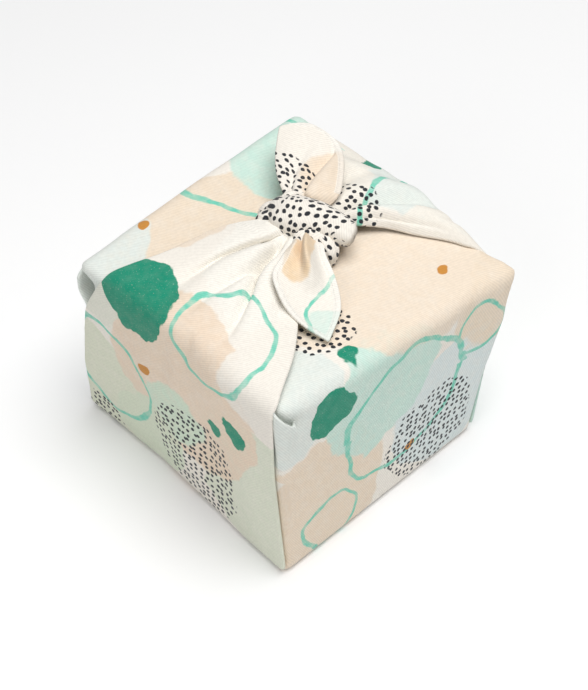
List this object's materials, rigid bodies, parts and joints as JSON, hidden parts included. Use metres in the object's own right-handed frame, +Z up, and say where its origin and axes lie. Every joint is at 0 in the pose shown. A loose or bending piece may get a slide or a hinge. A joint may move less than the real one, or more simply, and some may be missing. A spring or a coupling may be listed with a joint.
{
  "type": "furoshiki cloth wrap",
  "caption": "Square printed cotton cloth folded round a box-shaped parcel, pleated at the corners and gathered on top into a square knot with two free ends.",
  "frame": {"origin": "middle of the wrap's bounding box, on the flat underside that it stands on", "axes": "+Z up. The upright faces are square to X and Y: the gathered faces are at -Y and +Y, and the faces folded flat over the top are at +X and -X."},
  "size_m": [0.1468, 0.1457, 0.1269],
  "materials": {
    "furoshiki_cloth": "matt printed cotton twill"
  },
  "bodies": {
    "root": {"furoshiki_cloth": "furoshiki_cloth"}
  },
  "joints": []
}
